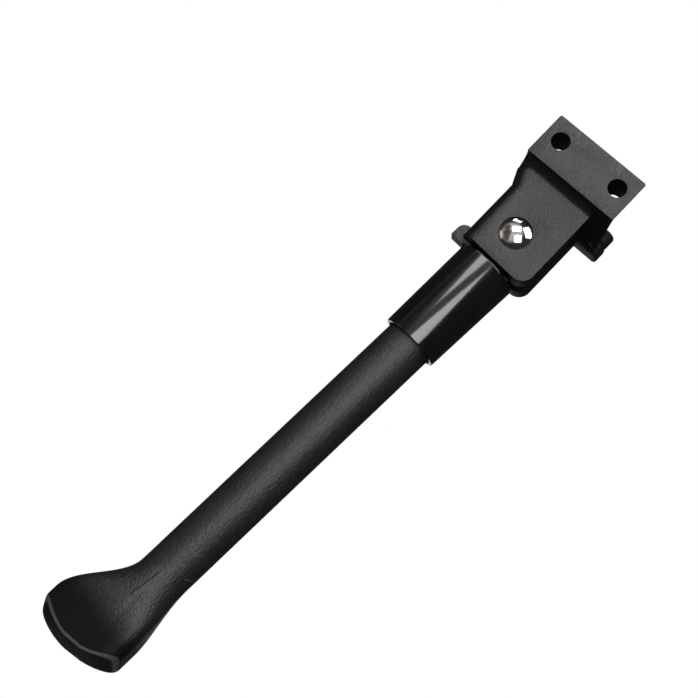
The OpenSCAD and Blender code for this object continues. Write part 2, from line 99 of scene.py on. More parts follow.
# Foot: how the sole's curve widens and its peak shifts from front to rear, how square the corners
# are (1 is round), where each side's flare starts and how long it takes, as shares of the foot,
# and the share in which the front has come forward
SOLE_GROW = 0.8
SOLE_SHIFT = 0.24
FRONT_CORNER = 0.36
RIGHT_CORNER = 0.62
LEFT_FLARE = (0.2, 0.71)
RIGHT_FLARE = (0.115, 0.72)
FRONT_SHARE = 0.9


class KickstandSizes(bpy.types.PropertyGroup):
    leg_radius: FloatProperty(
        name="Leg Radius", description="Radius of the shaft",
        default=8.5 * MM, min=0.004, unit="LENGTH")
    leg_top: FloatProperty(
        name="Leg Top", description="From the pivot to the shoulder",
        default=34 * MM, unit="LENGTH")
    foot_start: FloatProperty(
        name="Foot Start", description="From the pivot to the foot",
        default=150 * MM, unit="LENGTH")
    sole_drop: FloatProperty(
        name="Sole Drop", description="From the pivot to the sole",
        default=192.8 * MM, unit="LENGTH")
    foot_left: FloatProperty(
        name="Foot Left", description="Reach of the foot to the left",
        default=20.77 * MM, unit="LENGTH")
    foot_right: FloatProperty(
        name="Foot Right", description="Reach of the foot to the right",
        default=11.3 * MM, unit="LENGTH")
    foot_front: FloatProperty(
        name="Foot Front", description="Reach of the foot to the front",
        default=13.3 * MM, unit="LENGTH")
    foot_rear: FloatProperty(
        name="Foot Rear", description="Reach of the foot to the rear",
        default=8.7 * MM, unit="LENGTH")
    foot_lean: FloatProperty(
        name="Foot Lean", description="Lean of the foot's front face to its left side",
        default=math.radians(11), subtype="ANGLE")
    sole_slant: FloatProperty(
        name="Sole Slant", description="Slant of the sole",
        default=math.radians(19), subtype="ANGLE")
    sole_radius: FloatProperty(
        name="Sole Radius", description="Radius of the sole's curve",
        default=26 * MM, unit="LENGTH")
    sole_peak: FloatProperty(
        name="Sole Peak", description="From the leg's axis to the sole's lowest point",
        default=7.5 * MM, unit="LENGTH")
    rim_radius: FloatProperty(
        name="Rim Radius", description="Radius of the edge round the sole",
        default=1.6 * MM, unit="LENGTH")
    sleeve_top: FloatProperty(
        name="Sleeve Top", description="From the pivot to the sleeve",
        default=12.5 * MM, unit="LENGTH")
    sleeve_length: FloatProperty(
        name="Sleeve Length", description="Length of the sleeve", default=35.8 * MM, unit="LENGTH")
    sleeve_top_radius: FloatProperty(
        name="Sleeve Top Radius", description="Radius at the bracket",
        default=10.95 * MM, unit="LENGTH")
    sleeve_mouth_radius: FloatProperty(
        name="Sleeve Mouth Radius", description="Radius at the mouth",
        default=10.35 * MM, unit="LENGTH")
    sleeve_wall: FloatProperty(
        name="Sleeve Wall", description="Thickness of the wall", default=1.3 * MM, unit="LENGTH")
    casting_edge: FloatProperty(
        name="Casting Edge", description="Width of the castings' softened edges",
        default=0.3 * MM, unit="LENGTH")
    spring_coils: IntProperty(
        name="Spring Coils", description="Turns of the spring's wire", default=5, min=3)
    spring_wire: FloatProperty(
        name="Spring Wire", description="Diameter of the spring's wire",
        default=1.6 * MM, unit="LENGTH")
    spring_width: FloatProperty(
        name="Spring Width", description="Outer diameter of the spring",
        default=15.6 * MM, unit="LENGTH")


class KickstandFinish(bpy.types.PropertyGroup):
    casting: FloatVectorProperty(
        name="Casting", description="Coat of the bracket", size=3, default=(0.0135, 0.0127, 0.0122),
        min=0, max=1, subtype="COLOR")
    leg: FloatVectorProperty(
        name="Leg", description="Coat of the leg", size=3, default=(0.0125, 0.0122, 0.012),
        min=0, max=1, subtype="COLOR")
    rubbed: FloatVectorProperty(
        name="Rubbed", description="Rubbed places of the bracket", size=3,
        default=(0.13, 0.11, 0.105),
        min=0, max=1, subtype="COLOR")
    sleeve: FloatVectorProperty(
        name="Sleeve", description="Plastic of the sleeve", size=3, default=(0.005, 0.005, 0.005),
        min=0, max=1, subtype="COLOR")
    stainless: FloatVectorProperty(
        name="Stainless", description="Polished pin", size=3, default=(0.76, 0.75, 0.74),
        min=0, max=1, subtype="COLOR")


class KickstandStage(bpy.types.PropertyGroup):
    floor_height: FloatProperty(
        name="Floor Height", description="Height of the floor under the hanging stand",
        default=-0.7, unit="LENGTH")
    floor_radius: FloatProperty(
        name="Floor Radius", description="Radius of the round floor", default=0.36, unit="LENGTH")
    lens: FloatProperty(
        name="Lens", description="Focal length in millimetres", default=66.76)
    roll: FloatProperty(
        name="Roll", description="Roll of the camera", default=math.radians(44.13), subtype="ANGLE")
    camera_place: FloatVectorProperty(
        name="Camera Place", description="Where the camera stands", size=3,
        default=(0.07364, -0.408, -0.14901), subtype="TRANSLATION", unit="LENGTH")
    camera_target: FloatVectorProperty(
        name="Camera Target", description="What the camera looks at", size=3,
        default=(-0.01763, 0.0, -0.09474), subtype="TRANSLATION", unit="LENGTH")


class Signal:
    """A socket that takes part in Python sums, each of which adds a Math node."""

    def __init__(self, tree, socket):
        self.tree = tree
        self.socket = socket

    def _math(self, operation, *values):
        node = self.tree.nodes.new("ShaderNodeMath")
        node.operation = operation
        for socket, value in zip(node.inputs, values):
            if isinstance(value, Signal):
                self.tree.links.new(value.socket, socket)
            else:
                socket.default_value = value
        return Signal(self.tree, node.outputs[0])

    def __add__(self, other):
        return self._math("ADD", self, other)

    def __radd__(self, other):
        return self._math("ADD", other, self)

    def __sub__(self, other):
        return self._math("SUBTRACT", self, other)

    def __rsub__(self, other):
        return self._math("SUBTRACT", other, self)

    def __mul__(self, other):
        return self._math("MULTIPLY", self, other)

    def __rmul__(self, other):
        return self._math("MULTIPLY", other, self)

    def __truediv__(self, other):
        return self._math("DIVIDE", self, other)

    def __rtruediv__(self, other):
        return self._math("DIVIDE", other, self)

    def __abs__(self):
        return self._math("ABSOLUTE", self)

    def maximum(self, other):
        return self._math("MAXIMUM", self, other)

    def minimum(self, other):
        return self._math("MINIMUM", self, other)

    def step(self, low, high):
        """0 below low, 1 above high and smooth between them."""
        node = self.tree.nodes.new("ShaderNodeMapRange")
        node.interpolation_type = "SMOOTHSTEP"
        self.tree.links.new(self.socket, node.inputs["Value"])
        node.inputs["From Min"].default_value = low
        node.inputs["From Max"].default_value = high
        return Signal(self.tree, node.outputs["Result"])


class Nodes:
    """Adds nodes to one tree: type, settings, then socket values or links."""

    def __init__(self, tree):
        self.tree = tree
        tree.nodes.clear()

    def add(self, kind, settings=None, sockets=None):
        node = self.tree.nodes.new(kind)
        for name, value in (settings or {}).items():
            setattr(node, name, value)
        for name, value in (sockets or {}).items():
            socket = node.inputs[name]
            if isinstance(value, Signal):
                self.tree.links.new(value.socket, socket)
            elif isinstance(value, bpy.types.NodeSocket):
                self.tree.links.new(value, socket)
            else:
                socket.default_value = value
        return node

    def signal(self, node, output=0):
        return Signal(self.tree, node.outputs[output])

    def colour_mix(self, factor, a, b):
        node = self.add("ShaderNodeMix", {"data_type": "RGBA"}, {0: factor})
        for socket, value in ((node.inputs[6], a), (node.inputs[7], b)):
            if isinstance(value, bpy.types.NodeSocket):
                self.tree.links.new(value, socket)
            else:
                socket.default_value = (*value, 1.0)
        return node.outputs[2]

    def object_point(self):
        return self.add("ShaderNodeTexCoord").outputs["Object"]

    def object_normal(self):
        return self.add("ShaderNodeTexCoord").outputs["Normal"]

    def from_pivot(self):
        """The piece's own point, measured from the pivot."""
        node = self.add("ShaderNodeVectorMath", {"operation": "SUBTRACT"}, {
            0: self.object_point(), 1: PIVOT})
        return node.outputs[0]

    def noise(self, scale, detail=3.0, stretch=None, roughness=0.5):
        """Noise on Object coordinates in cells per metre, drawn out by a rotation and sizes."""
        point = self.object_point()
        if stretch:
            turn, sizes = stretch
            point = self.add("ShaderNodeMapping", {}, {
                "Vector": point, "Rotation": turn, "Scale": sizes}).outputs[0]
        node = self.add("ShaderNodeTexNoise", {}, {
            "Vector": point, "Scale": scale, "Detail": detail, "Roughness": roughness})
        return self.signal(node, "Fac")

    def along(self, vector, axis):
        """Share of a vector that lies along an axis."""
        node = self.add("ShaderNodeVectorMath", {"operation": "DOT_PRODUCT"}, {0: vector, 1: axis})
        return self.signal(node, "Value")

    def spot(self, centre, radius):
        """1 at a point of the piece and 0 from a radius round it on."""
        away = self.add("ShaderNodeVectorMath", {"operation": "DISTANCE"}, {
            0: self.object_point(), 1: centre})
        return 1 - self.signal(away, "Value").step(radius * 0.3, radius)

    def stroke(self, ends, width, wander):
        """1 along a straight line between two (x, down) points on the front of the leg."""
        right, rear, up = leg_axes()
        point = self.from_pivot()
        x, down, depth = (self.along(point, axis) for axis in (right, -up, rear))
        (x0, down0), (x1, down1) = ends
        length = math.hypot(x1 - x0, down1 - down0)
        dx, dd = (x1 - x0) / length, (down1 - down0) / length
        on = (x - x0) * dx + (down - down0) * dd
        off = abs((x - x0) * dd - (down - down0) * dx + wander)
        inside = on.step(0, length * 0.1) * (1 - on.step(length * 0.8, length))
        in_front = 1 - depth.step(-1 * MM, 0)
        return inside * in_front * (1 - off.step(width * 0.5, width))

    def bump(self, height, distance):
        return self.add("ShaderNodeBump", {}, {
            "Height": height, "Distance": distance, "Strength": 1.0}).outputs[0]

    def shader(self, sockets):
        return self.add("ShaderNodeBsdfPrincipled", {}, sockets).outputs[0]

    def surface(self, sockets):
        """One finish all over."""
        self.add("ShaderNodeOutputMaterial", {}, {"Surface": self.shader(sockets)})

    def two_surfaces(self, share, first, second):
        """The first finish where the share is 0 and the second where it is 1."""
        mixed = self.add("ShaderNodeMixShader", {}, {
            0: share, 1: self.shader(first), 2: self.shader(second)})
        self.add("ShaderNodeOutputMaterial", {}, {"Surface": mixed.outputs[0]})


def lighter(colour, factor):
    """The colour times a factor, held at white."""
    return tuple(min(1.0, c * factor) for c in colour)


def new_material(name):
    material = bpy.data.materials.new(name)
    material.use_nodes = True
    return material, Nodes(material.node_tree)


def casting_material(finish):
    """Black enamelled casting with a leathery grain: satin front and rear, and painted shade on the flanks, which
    get a darker, less shiny coat.
    """
    material, nodes = new_material("black_casting")
    along = ((0.0, math.radians(-12), 0.0), (1.0, 1.0, 0.32))
    grain = nodes.noise(scale=1900, detail=3.0, stretch=along, roughness=0.6)
    pits = nodes.noise(scale=2600, detail=2.0)
    cloud = nodes.noise(scale=150, detail=3.0)
    fleck = nodes.noise(scale=1100, detail=4.0).step(0.62, 0.72)
    rubbed = nodes.spot(RUBBED_CORNER, 5.5 * MM).maximum(nodes.spot(RUBBED_SIDE, 4 * MM) * 0.7)
    rubbed = rubbed * nodes.noise(scale=700, detail=4.0, stretch=along).step(0.5, 0.62)
    tone = (cloud - 0.5) * 0.9 + (grain - 0.5) * 3.2 + 0.5
    colour = nodes.colour_mix(tone, lighter(finish.casting, 0.45), lighter(finish.casting, 1.7))
    colour = nodes.colour_mix(fleck * 0.3, colour, lighter(finish.casting, 3.4))
    colour = nodes.colour_mix(rubbed * 0.55, colour, finish.rubbed)
    relief = nodes.bump(grain * 0.7 + pits * 0.3, 0.34 * MM)
    face = {
        "Base Color": colour,
        "Roughness": 0.33 + grain * 0.12 + rubbed * 0.1,
        "Normal": relief,
        "Specular IOR Level": 0.5,
    }
    # Painted shade: faces that look neither to the front nor to the rear get a darker, less shiny coat.
    dark, pale = lighter(finish.casting, 0.3), lighter(finish.casting, 0.75)
    shaded_flank = {
        "Base Color": nodes.colour_mix(grain, dark, pale),
        "Roughness": 0.4 + grain * 0.2,
        "Normal": relief,
        "Specular IOR Level": 0.14,
    }
    faces_front = abs(nodes.along(nodes.object_normal(), (0.0, 1.0, 0.0))).step(0.84, 0.97)
    nodes.two_surfaces(faces_front, shaded_flank, face)
    return material


def leg_material(finish):
    """Satin black coat with a seam and a scratch on the neck; on the foot, painted shade darkens the face and the
    sole, and a painted highlight lightens the rim round the sole.
    """
    material, nodes = new_material("black_coat")
    along = ((0.0, math.radians(-2.6), 0.0), (1.0, 1.0, 0.4))
    peel = nodes.noise(scale=1700, detail=3.0, stretch=along, roughness=0.6)
    cloud = nodes.noise(scale=90, detail=3.0)
    speck = nodes.noise(scale=420, detail=2.0).step(0.74, 0.77)
    wander = (nodes.noise(scale=260, detail=3.0) - 0.5) * 0.6 * MM
    seam = nodes.stroke(SEAM, 0.16 * MM, wander)
    scratch = nodes.stroke(SCRATCH, 0.2 * MM, wander)
    tone = (cloud - 0.5) * 0.6 + (peel - 0.5) * 2.0 + 0.5
    colour = nodes.colour_mix(tone, lighter(finish.leg, 0.5), lighter(finish.leg, 1.6))
    colour = nodes.colour_mix(speck * 0.4, colour, lighter(finish.leg, 9))
    colour = nodes.colour_mix(seam, colour, lighter(finish.leg, 0.1))
    colour = nodes.colour_mix(scratch * 0.7, colour, lighter(finish.leg, 8))
    low = nodes.along(nodes.from_pivot(), DOWN_LEG).step(*FOOT_SHADE_SPAN)
    # Masks for the painted shade of the sole and the painted highlight of the rim, from the piece's own normals
    faces_down = nodes.along(nodes.object_normal(), DOWN_LEG)
    sole = faces_down.step(0.6, 0.82) * low
    rim = faces_down.step(0.12, 0.42) * (1 - sole) * low
    # Painted highlight: the rounded rim round the sole gets a pale colour
    colour = nodes.colour_mix(rim * (0.5 + peel * 0.5), colour, lighter(finish.leg, 9))
    satin = {
        "Base Color": colour,
        "Roughness": 0.34 + cloud * 0.06 + peel * 0.06 + seam * 0.5,
        "Normal": nodes.bump(peel - seam * 1.5, 0.26 * MM),
        "Specular IOR Level": 0.5,
    }
    # Painted shade: the foot's face gets a dark, barely shiny coat and its sole a darker one still
    shaded_face_colour, shaded_sole_colour = lighter(finish.leg, 0.5), lighter(finish.leg, 0.06)
    painted_foot_shade = {
        "Base Color": nodes.colour_mix(sole, shaded_face_colour, shaded_sole_colour),
        "Roughness": 0.42 + peel * 0.1,
        "Specular IOR Level": 0.06,
    }
    nodes.two_surfaces((low * (1 - rim)).maximum(sole) * 0.92, satin, painted_foot_shade)
    return material


def sleeve_material(finish):
    """Glossy moulded plastic with slow waves and hairline scratches along the sleeve."""
    material, nodes = new_material("gloss_sleeve")
    wave = nodes.noise(scale=60, detail=1.0)
    hair = nodes.noise(scale=3000, detail=2.0, stretch=(UNTURNED, (1.0, 1.0, 0.03)))
    colour = nodes.colour_mix(wave, lighter(finish.sleeve, 0.8), lighter(finish.sleeve, 1.3))
    nodes.surface({
        "Base Color": colour,
        "Roughness": 0.1 + hair.step(0.55, 0.8) * 0.12 + wave * 0.05,
        "Normal": nodes.bump(hair * 0.2 + wave, 0.02 * MM),
        "Specular IOR Level": 0.75,
    })
    return material


def metal_material(name, colour, roughness, brushed=0.15):
    """Bare or plated metal with faint turning marks."""
    material, nodes = new_material(name)
    marks = nodes.noise(scale=2200, detail=2.0, stretch=(UNTURNED, (1.0, 0.08, 1.0)))
    cloud = nodes.noise(scale=200, detail=2.0)
    tint = nodes.colour_mix(cloud, lighter(colour, 0.9), lighter(colour, 1.06))
    nodes.surface({
        "Base Color": tint,
        "Metallic": 1.0,
        "Roughness": roughness + marks * brushed,
        "Normal": nodes.bump(marks, 0.004 * MM),
    })
    return material


def rubber_material():
    """Black rubber with a fine grain."""
    material, nodes = new_material("rubber")
    grain = nodes.noise(scale=1800, detail=4.0)
    colour = nodes.colour_mix(grain, (0.002, 0.002, 0.002), (0.006, 0.006, 0.006))
    nodes.surface({
        "Base Color": colour,
        "Roughness": 0.55 + grain * 0.2,
        "Normal": nodes.bump(grain, 0.05 * MM),
        "Specular IOR Level": 0.2,
    })
    return material


def nylon_material():
    """Pale moulded nylon."""
    material, nodes = new_material("nylon")
    grain = nodes.noise(scale=900, detail=3.0)
    colour = nodes.colour_mix(grain, (0.62, 0.61, 0.57), (0.78, 0.77, 0.73))
    nodes.surface({
        "Base Color": colour,
        "Roughness": 0.45 + grain * 0.15,
        "Normal": nodes.bump(grain, 0.02 * MM),
    })
    return material


def hollow_shade_material():
    """Near-black matte coat that paints shade into the casting's bores, slot and recesses."""
    material, nodes = new_material("painted_hollow_shade")
    grain = nodes.noise(scale=1500, detail=3.0)
    colour = nodes.colour_mix(grain, (0.002, 0.002, 0.002), (0.007, 0.007, 0.007))
    nodes.surface({
        "Base Color": colour,
        "Roughness": 0.7 + grain * 0.2,
        "Specular IOR Level": 0.08,
    })
    return material


def body_of(node):
    """Body that carries a node, which a piece in its place rides on as well."""
    return next(body for body, nodes in RIDERS.items() if node in nodes)


def link(name, data):
    """New object for a mesh, a lamp or a camera, placed at the origin."""
    piece = bpy.data.objects.new(name, data)
    bpy.context.scene.collection.objects.link(piece)
    return piece


def smooth(mesh, angle):
    """Smooth shading, with edges sharp from an angle in degrees on."""
    mesh.shade_smooth()
    mesh.set_sharp_from_angle(angle=math.radians(angle))


def mesh_from(bm, name, material, angle):
    """Mesh with outward faces and smooth shading."""
    bmesh.ops.recalc_face_normals(bm, faces=bm.faces)
    mesh = bpy.data.meshes.new(name)
    bm.to_mesh(mesh)
    bm.free()
    smooth(mesh, angle)
    mesh.materials.append(material)
    return mesh


def leg_axes():
    """Right, rear and up of the leg's own frame: up runs from the foot to the pivot."""
    up = -DOWN_LEG
    rear = Vector((0, 1, 0))
    return rear.cross(up), rear, up


def on_leg(x, y, down):
    """A point beside the leg's axis at a distance below the pivot."""
    right, rear, up = leg_axes()
    return PIVOT + right * x + rear * y - up * down


def lathe(name, profile, place, material, segments):
    """Turns a closed profile of (radius, along) about an axis, through place(x, y, along)."""
    bm = bmesh.new()
    rings = []
    for radius, along in profile:
        if radius < 1e-7:
            rings.append([bm.verts.new(place(0, 0, along))])
            continue
        rings.append([
            bm.verts.new(place(radius * math.cos(a), radius * math.sin(a), along))
            for a in (math.tau * i / segments for i in range(segments))])
    for near, far in zip(rings, rings[1:] + rings[:1]):
        if len(near) == 1 and len(far) == 1:
            continue
        for i in range(segments):
            j = (i + 1) % segments
            corners = (
                near[i % len(near)], near[j % len(near)], far[j % len(far)], far[i % len(far)])
            bm.faces.new(dict.fromkeys(corners))
    return mesh_from(bm, name, material, 30)


def arc(cx, cy, r, start, end):
    """Points on a circle from one angle in degrees to another."""
    steps = 6
    angles = (math.radians(start + (end - start) * i / steps) for i in range(steps + 1))
    return [(cx + r * math.cos(a), cy + r * math.sin(a)) for a in angles]


def ease(t):
    """Smooth rise from 0 to 1, held outside of them."""
    t = min(max(t, 0.0), 1.0)
    return t * t * (3 - 2 * t)


def mix(a, b, t):
    """Value at a share t of the way from a to b."""
    return a + (b - a) * t


def signed_power(v, p):
    """Power of a value's size, with the value's sign kept."""
    return math.copysign(abs(v) ** p, v)


def sole_depth(sizes, x, y):
    """Depth of the sole below the pivot: slanted to the rear and curved from left to right."""
    from_peak = x + sizes.sole_peak + SOLE_SHIFT * y
    radius = sizes.sole_radius + SOLE_GROW * y
    return sizes.sole_drop + y * math.tan(sizes.sole_slant) - from_peak ** 2 / (2 * radius)


def foot_outline(sizes, a, t):
    """Point of the foot's outline at the angle a, when a share t of its flare is done."""
    c, s = math.cos(a), math.sin(a)
    start, share = RIGHT_FLARE if c > 0 else LEFT_FLARE
    wide = ease((t - start) / share)
    deep = ease(t / (1 if s > 0 else FRONT_SHARE))
    r = sizes.leg_radius
    x = signed_power(c, mix(1, RIGHT_CORNER if c > 0 else FRONT_CORNER, wide))
    x *= mix(r, sizes.foot_right if c > 0 else sizes.foot_left, wide)
    reach = mix(r, sizes.foot_rear if s > 0 else sizes.foot_front, deep)
    if s < 0:
        reach -= wide * math.tan(sizes.foot_lean) * (sizes.foot_right - x)
    return x, signed_power(s, mix(1, FRONT_CORNER, wide)) * reach


def foot_rings(sizes, sides, wall_steps, edge_steps, sole_steps):
    """Rings of (x, y, down) points from the shaft over the flare and the rim to the sole."""
    rim = sizes.rim_radius
    angles = [math.tau * i / sides for i in range(sides)]
    ends = [foot_outline(sizes, a, 1) for a in angles]
    rings = []
    for i in range(wall_steps + 1):
        t = i / wall_steps
        downs = (mix(sizes.foot_start, sole_depth(sizes, *end) - rim, t) for end in ends)
        rings.append([(*foot_outline(sizes, a, t), down) for a, down in zip(angles, downs)])
    for i in range(1, edge_steps + 1):
        b = math.radians(90) * i / edge_steps
        inset = rim * (1 - math.cos(b))
        ring = []
        for x, y in ends:
            x *= 1 - inset / (sizes.foot_right if x > 0 else sizes.foot_left)
            y *= 1 - inset / (sizes.foot_rear if y > 0 else sizes.foot_front)
            ring.append((x, y, sole_depth(sizes, x, y) - rim * (1 - math.sin(b))))
        rings.append(ring)
    edge = rings[-1]
    for i in range(1, sole_steps + 1):
        share = 1 - i / (sole_steps + 0.5)
        inner = ((x * share, y * share) for x, y, _ in edge)
        rings.append([(x, y, sole_depth(sizes, x, y)) for x, y in inner])
    return rings


def softened(node, name, body, material, width):
    """A copy of a cast node whose edges are rounded over, in the node's place."""
    bm = bmesh.new()
    bm.from_mesh(frame["nodes"][node].data)
    bmesh.ops.remove_doubles(bm, verts=bm.verts, dist=1e-6)
    bmesh.ops.dissolve_limit(
        bm, angle_limit=math.radians(0.5), verts=bm.verts, edges=bm.edges, delimit={"NORMAL"})
    mesh = bpy.data.meshes.new(name)
    bm.to_mesh(mesh)
    bm.free()
    mesh.materials.clear()
    mesh.materials.append(material)
    piece = link(name, mesh)
    bevel = piece.modifiers.new("edges", "BEVEL")
    bevel.width = width
    bevel.segments = 3
    bevel.limit_method = "ANGLE"
    bevel.angle_limit = math.radians(28)
    bevel.miter_outer = "MITER_ARC"
    finish_modifiers(piece, 24)
    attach(piece, body)
    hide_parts(node)
    return piece


class KICKSTAND_OT_castings(bpy.types.Operator):
    """Softens the edges of the cast bracket and of the pivot head, coats them, and paints shade into the bracket's
    hollows
    """

    bl_idname = "kickstand.castings"
    bl_label = "Castings"

    def execute(self, context):
        scene = context.scene
        material = casting_material(scene.kickstand_finish)
        width = scene.kickstand_sizes.casting_edge
        bracket = softened(
            "mount_bracket", "cast_bracket", "bracket", material, width)
        softened("pivot_head", "cast_head", "leg", material, width)
        # Painted shade in the bores, the slot, the recess beside the ear and the ear's front
        paint_shade_in_hollows(bracket)
        return {"FINISHED"}


def paint_shade_in_hollows(piece):
    """Paints shade into the bolt bores, the slot, the recess beside the ear and the ear's front by giving their
    faces a near-black matte coat.
    """
    piece.data.materials.append(hollow_shade_material())
    for face in piece.data.polygons:
        x, y, z = face.center
        normal = face.normal
        in_bore = min(math.hypot(x - bolt, z) for bolt in BOLTS) < BORE_RADIUS + 0.05 * MM
        bore = in_bore and y > BORE_FRONT
        slot = abs(y) < SLOT_HALF and z < SLOT_TOP and normal.x < 0.7
        recess = x > RECESS_LEFT and y < RECESS_REAR and z < BLOCK_BOTTOM and normal.x < 0.35
        ear = abs(y - EAR_FRONT) < 0.1 * MM and normal.y < -0.9
        if bore or slot or recess or ear:
            face.material_index = 1


def finish_modifiers(piece, angle):
    """Turns the piece with its modifiers into a plain mesh."""
    graph = bpy.context.evaluated_depsgraph_get()
    mesh = bpy.data.meshes.new_from_object(
        piece.evaluated_get(graph), preserve_all_data_layers=True, depsgraph=graph)
    piece.modifiers.clear()
    old = piece.data
    piece.data = mesh
    bpy.data.meshes.remove(old)
    smooth(mesh, angle)


class KICKSTAND_OT_leg(bpy.types.Operator):
    """Builds the round shaft with its flared foot"""

    bl_idname = "kickstand.leg"
    bl_label = "Leg"

    def execute(self, context):
        scene = context.scene
        sizes = scene.kickstand_sizes
        sides = 128
        r = sizes.leg_radius
        chamfer = 0.5 * MM
        bore, bore_end = 4.9 * MM, 58 * MM
        shaft_steps = 12
        tube = [(bore, bore_end), (bore, sizes.leg_top), (r - chamfer, sizes.leg_top)]
        tube += [
            (r, mix(sizes.leg_top + chamfer, sizes.foot_start, i / shaft_steps))
            for i in range(shaft_steps)]
        angles = [math.tau * i / sides for i in range(sides)]
        rings = [
            [(radius * math.cos(a), radius * math.sin(a), down) for a in angles]
            for radius, down in tube]
        rings += foot_rings(sizes, sides, wall_steps=72, edge_steps=8, sole_steps=8)
        bm = bmesh.new()
        verts = [[bm.verts.new(on_leg(*point)) for point in ring] for ring in rings]
        for near, far in zip(verts, verts[1:]):
            for i in range(sides):
                j = (i + 1) % sides
                bm.faces.new((near[i], near[j], far[j], far[i]))
        bm.faces.new(verts[0])
        bm.faces.new(verts[-1])
        mesh = mesh_from(bm, "coated_leg", leg_material(scene.kickstand_finish), 40)
        piece = link("coated_leg", mesh)
        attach(piece, "leg")
        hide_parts("leg")
        return {"FINISHED"}


class KICKSTAND_OT_sleeve(bpy.types.Operator):
    """Builds the glossy sleeve with rounded rims"""

    bl_idname = "kickstand.sleeve"
    bl_label = "Sleeve"

    def execute(self, context):
        scene = context.scene
        sizes = scene.kickstand_sizes
        top = sizes.sleeve_top
        mouth = top + sizes.sleeve_length
        r_top = sizes.sleeve_top_radius
        r_mouth = sizes.sleeve_mouth_radius
        wall = sizes.sleeve_wall
        edge = 0.7 * MM
        lip = 0.35 * MM
        hole = 5.3 * MM
        end_wall = 2 * MM
        taper = 0.35 * MM
        profile = [(hole, top)]
        profile += arc(r_top - edge, top + edge, edge, -90, 0)
        profile += arc(r_mouth - lip, mouth - lip, lip, 0, 90)
        profile += arc(r_mouth - wall + lip, mouth - lip, lip, 90, 180)
        profile += [(r_top - wall - taper, top + end_wall), (hole, top + end_wall)]
        material = sleeve_material(scene.kickstand_finish)
        mesh = lathe("gloss_sleeve", profile, on_leg, material, segments=160)
        piece = link("gloss_sleeve", mesh)
        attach(piece, "sleeve")
        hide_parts("sleeve")
        return {"FINISHED"}


class KICKSTAND_OT_pin(bpy.types.Operator):
    """Turns the polished pin with its domed head and the groove for the clip"""

    bl_idname = "kickstand.pin"
    bl_label = "Pin"

    def execute(self, context):
        scene = context.scene
        shank, head, groove = 4 * MM, 5.1 * MM, 3 * MM
        front, seat, rear = -11.5 * MM, -8.3 * MM, 11.8 * MM
        side, clip_front, clip_rear = -9.8 * MM, 9.9 * MM, 10.8 * MM
        dome = side - front
        ball = (head ** 2 + dome ** 2) / (2 * dome)
        dome_steps = 24
        radii = [head * i / dome_steps for i in range(dome_steps + 1)]
        chamfer = 0.4 * MM
        profile = [(r, front + ball - math.sqrt(ball ** 2 - r ** 2)) for r in radii]
        profile += [(head, seat), (shank, seat), (shank, clip_front), (groove, clip_front)]
        profile += [(groove, clip_rear), (shank, clip_rear), (shank, rear - chamfer)]
        profile += [(shank - chamfer, rear), (0, rear)]

        def on_pin(x, z, along):
            return Vector((PIVOT.x + x, along, PIVOT.z + z))

        material = metal_material("stainless", scene.kickstand_finish.stainless, 0.05, 0.05)
        mesh = lathe("polished_pin", profile, on_pin, material, segments=128)
        piece = link("polished_pin", mesh)
        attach(piece, body_of("pivot_pin"))
        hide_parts("pivot_pin")
        return {"FINISHED"}


def spring_tree(material):
    """Round wire on a helix whose end turns lie close, drawn from named inputs."""
    tree = bpy.data.node_groups.new("spring_wire", "GeometryNodeTree")
    kinds = {
        "Coils": "NodeSocketInt",
        "Radius": "NodeSocketFloat",
        "Wire Radius": "NodeSocketFloat",
        "Height": "NodeSocketFloat",
    }
    for name, kind in kinds.items():
        tree.interface.new_socket(name, in_out="INPUT", socket_type=kind)
    tree.interface.new_socket("Geometry", in_out="OUTPUT", socket_type="NodeSocketGeometry")
    nodes = Nodes(tree)
    inputs = nodes.add("NodeGroupInput")
    coils, radius, wire, height = (nodes.signal(inputs, name) for name in kinds)
    helix = nodes.add("GeometryNodeCurveSpiral", {}, {
        "Resolution": 48,
        "Rotations": coils,
        "Start Radius": radius,
        "End Radius": radius,
        "Height": height,
    })
    turn = nodes.signal(nodes.add("GeometryNodeSplineParameter"), "Factor") * coils
    close = wire * 2.1
    open_turns = coils - 2
    pitch = (height - close * 2) / open_turns
    rise = (close * turn.minimum(1) + pitch * (turn - 1).maximum(0).minimum(open_turns)
            + close * (turn - coils + 1).maximum(0))
    flat = nodes.add("ShaderNodeVectorMath", {"operation": "MULTIPLY"}, {
        0: nodes.add("GeometryNodeInputPosition").outputs[0], 1: (1, 1, 0)})
    lift = nodes.add("ShaderNodeCombineXYZ", {}, {"Z": rise})
    place = nodes.add("ShaderNodeVectorMath", {"operation": "ADD"}, {
        0: flat.outputs[0], 1: lift.outputs[0]})
    bent = nodes.add("GeometryNodeSetPosition", {}, {
        "Geometry": helix.outputs[0], "Position": place.outputs[0]})
    ring = nodes.add("GeometryNodeCurvePrimitiveCircle", {"mode": "RADIUS"}, {
        "Resolution": 16, "Radius": wire})
    tube = nodes.add("GeometryNodeCurveToMesh", {}, {
        "Curve": bent.outputs[0], "Profile Curve": ring.outputs[0], "Fill Caps": True})
    real = nodes.add("GeometryNodeRealizeInstances", {}, {"Geometry": tube.outputs[0]})
    skin = nodes.add("GeometryNodeSetMaterial", {}, {
        "Geometry": real.outputs[0], "Material": material})
    nodes.add("NodeGroupOutput", {}, {"Geometry": skin.outputs[0]})
    return tree


